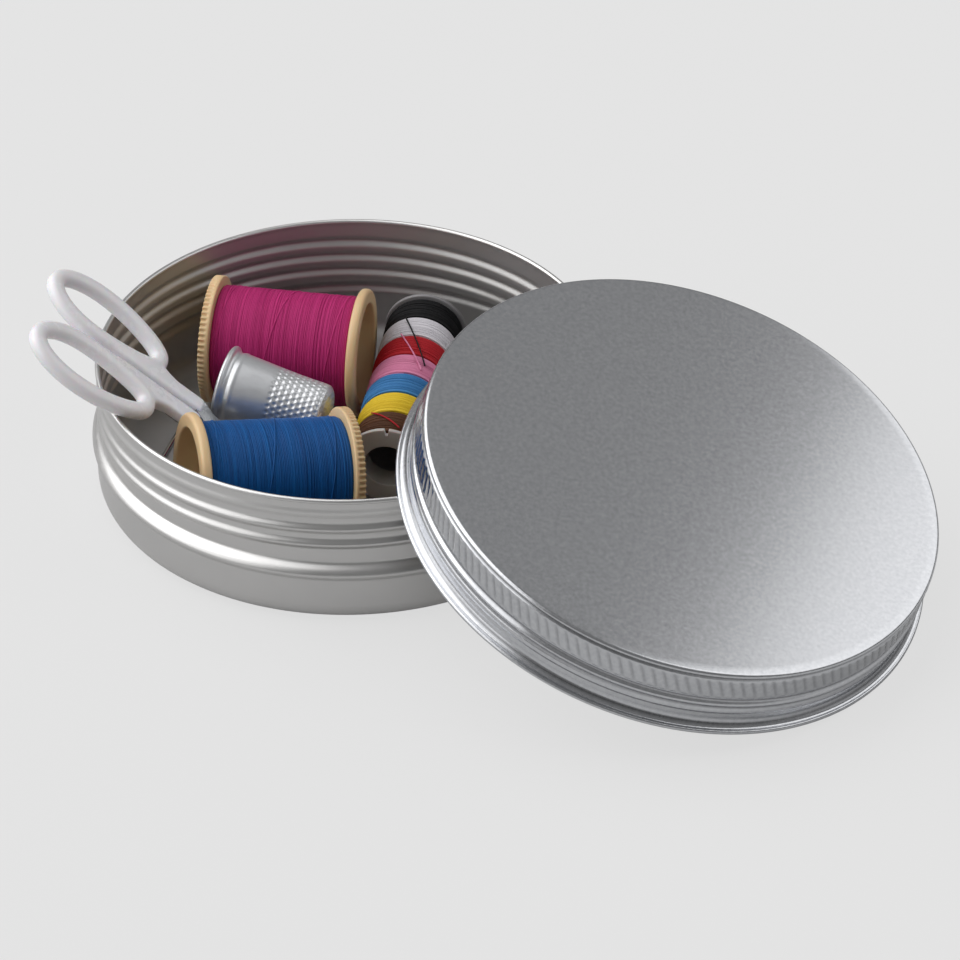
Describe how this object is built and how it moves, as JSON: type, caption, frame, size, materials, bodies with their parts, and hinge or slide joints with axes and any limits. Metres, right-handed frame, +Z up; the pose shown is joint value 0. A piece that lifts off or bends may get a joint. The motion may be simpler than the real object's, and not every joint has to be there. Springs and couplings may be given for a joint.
{
  "type": "sewing tin",
  "caption": "Round screw-top aluminium tin with its lid leaning on the rim, holding two thread spools, a thimble, small scissors, a banded thread reel and a needle.",
  "frame": {"origin": "centre of the tin's flat underside, on the surface that it stands on", "axes": "+Z up along the tin's axis; +X to the right and +Y away from the viewer of the picture"},
  "size_m": [0.1714, 0.1394, 0.0472],
  "materials": {
    "tin_metal": "satin",
    "liner_foam": "matte",
    "spool_plastic": "satin",
    "magenta_thread": "matte",
    "blue_thread": "matte",
    "thimble_metal": "polished",
    "handle_plastic": "gloss",
    "blade_steel": "satin",
    "reel_plastic": "satin",
    "needle_steel": "polished",
    "reel_black": "matte",
    "reel_white": "matte",
    "reel_red": "matte",
    "reel_pink": "matte",
    "reel_blue": "matte",
    "reel_yellow": "matte",
    "reel_brown": "matte"
  },
  "bodies": {
    "tin": {"tin_body": "tin_metal"},
    "lid": {"lid_shell": "tin_metal", "lid_liner": "liner_foam"},
    "magenta": {"magenta_spool": "spool_plastic", "magenta_spool_cap": "spool_plastic", "magenta_thread": "magenta_thread", "magenta_outer_turns": "magenta_thread"},
    "blue": {"blue_spool": "spool_plastic", "blue_spool_cap": "spool_plastic", "blue_thread": "blue_thread", "blue_outer_turns": "blue_thread"},
    "thimble": {"thimble": "thimble_metal"},
    "scissors": {"scissors_lower_handle": "handle_plastic", "scissors_lower_blade": "blade_steel", "scissors_rivet": "blade_steel"},
    "scissors_upper": {"scissors_upper_handle": "handle_plastic", "scissors_upper_blade": "blade_steel"},
    "reel": {"reel_tube": "reel_plastic", "reel_end_cap": "reel_plastic", "reel_thread_ends": "reel_black", "reel_black_thread": "reel_black", "reel_white_thread": "reel_white", "reel_red_thread": "reel_red", "reel_pink_thread": "reel_pink", "reel_blue_thread": "reel_blue", "reel_yellow_thread": "reel_yellow", "reel_brown_thread": "reel_brown"},
    "needle": {"sewing_needle": "needle_steel"}
  },
  "joints": [
    {"name": "lid_lift", "type": "slide", "parent": "tin", "child": "lid", "axis": [0, 0, 1], "range_m": [0, 0.06]},
    {"name": "magenta_spool_lift", "type": "slide", "parent": "tin", "child": "magenta", "axis": [0, 0, 1], "range_m": [0, 0.04]},
    {"name": "blue_spool_lift", "type": "slide", "parent": "tin", "child": "blue", "axis": [0.1772, 0, 0.9842], "range_m": [0, 0.04]},
    {"name": "thimble_lift", "type": "slide", "parent": "tin", "child": "thimble", "axis": [0, 0, 1], "range_m": [0, 0.04]},
    {"name": "scissors_draw", "type": "slide", "parent": "tin", "child": "scissors", "axis": [-0.7619, 0.0533, 0.6455], "range_m": [0, 0.045]},
    {"name": "scissors_pivot", "type": "hinge", "parent": "scissors", "child": "scissors_upper", "pos_m": [-0.02437, -0.01017, 0.01588], "axis": [-0.6364, 0.1232, -0.7614], "range_deg": [0, 8]},
    {"name": "reel_lift", "type": "slide", "parent": "tin", "child": "reel", "axis": [0.099, 0.099, 0.9901], "range_m": [0, 0.04]},
    {"name": "needle_lift", "type": "slide", "parent": "tin", "child": "needle", "axis": [0, 0, 1], "range_m": [0, 0.012]}
  ]
}
